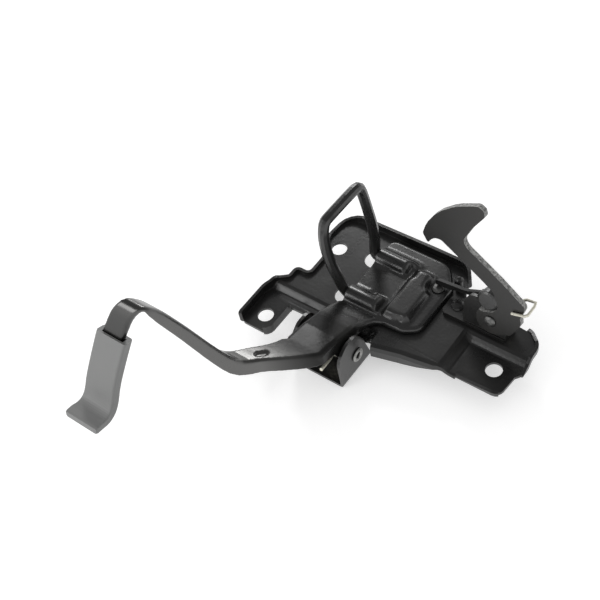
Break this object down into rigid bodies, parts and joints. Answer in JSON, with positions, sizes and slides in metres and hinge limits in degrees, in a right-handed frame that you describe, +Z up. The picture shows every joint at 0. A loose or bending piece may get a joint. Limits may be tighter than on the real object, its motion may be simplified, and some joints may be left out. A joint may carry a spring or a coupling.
{
  "type": "tailgate lock",
  "caption": "Black stamped base plate with a sprung release lever that carries a striker loop, and a flat safety hook on a pivot beside it.",
  "frame": {"origin": "centre of the left bolt hole in the base plate, on the mounting plane", "axes": "+X along the base plate from the left bolt hole towards the safety hook, +Y to the back of the plate, +Z up out of the mounting plane, the way the striker loop stands"},
  "size_m": [0.1985, 0.2266, 0.1217],
  "materials": {
    "base_plate": "satin black paint",
    "pivot_bracket": "satin black paint",
    "release_lever": "satin black paint",
    "striker_loop": "satin black paint",
    "hook_bracket": "satin black paint",
    "safety_hook": "satin black paint, worn on the sheared edges",
    "kick_lever": "satin black paint",
    "stop_stud": "satin black paint",
    "guide_pin": "satin black paint",
    "foot_rivets": "satin black paint",
    "grip_sleeve": "soft dark grey",
    "bush": "nylon",
    "pivot_rivet": "bare rolled end",
    "spacer_tube": "bare steel",
    "hook_pin": "bare steel",
    "hook_washer": "bare steel",
    "lift_stud": "bare steel",
    "spring": "yellow passivated wire"
  },
  "bodies": {
    "base": {"base_plate": "base_plate", "pivot_bracket": "pivot_bracket", "pivot_rivet": "pivot_rivet", "hook_bracket": "hook_bracket", "hook_bush": "bush", "stop_stud": "stop_stud", "guide_pin": "guide_pin", "foot_rivet_left": "foot_rivets", "foot_rivet_right": "foot_rivets"},
    "lever": {"release_lever": "release_lever", "striker_loop": "striker_loop", "grip_sleeve": "grip_sleeve", "bush_left": "bush", "bush_right": "bush", "spacer_tube": "spacer_tube", "lever_spring": "spring", "lift_stud": "lift_stud"},
    "hook": {"safety_hook": "safety_hook", "hook_pin": "hook_pin", "hook_washer": "hook_washer", "kick_lever": "kick_lever", "hook_spring": "spring"}
  },
  "joints": [
    {"name": "lever_swing", "type": "hinge", "parent": "base", "child": "lever", "pos_m": [0.0492, 0.0052, 0.0006], "axis": [1, 0, 0], "range_deg": [0, 9], "stiffness_Nm_per_rad": 1.2, "springref_deg": -20.05},
    {"name": "hook_swing", "type": "hinge", "parent": "base", "child": "hook", "pos_m": [0.1325, 0.05767, 0.02317], "axis": [0, 0.9848, -0.1736], "range_deg": [0, 12.1], "stiffness_Nm_per_rad": 0.3, "springref_deg": -20.05}
  ],
  "couplings": [
    {"joint": "hook_swing", "follows": "lever_swing", "ratio": 1.34}
  ]
}
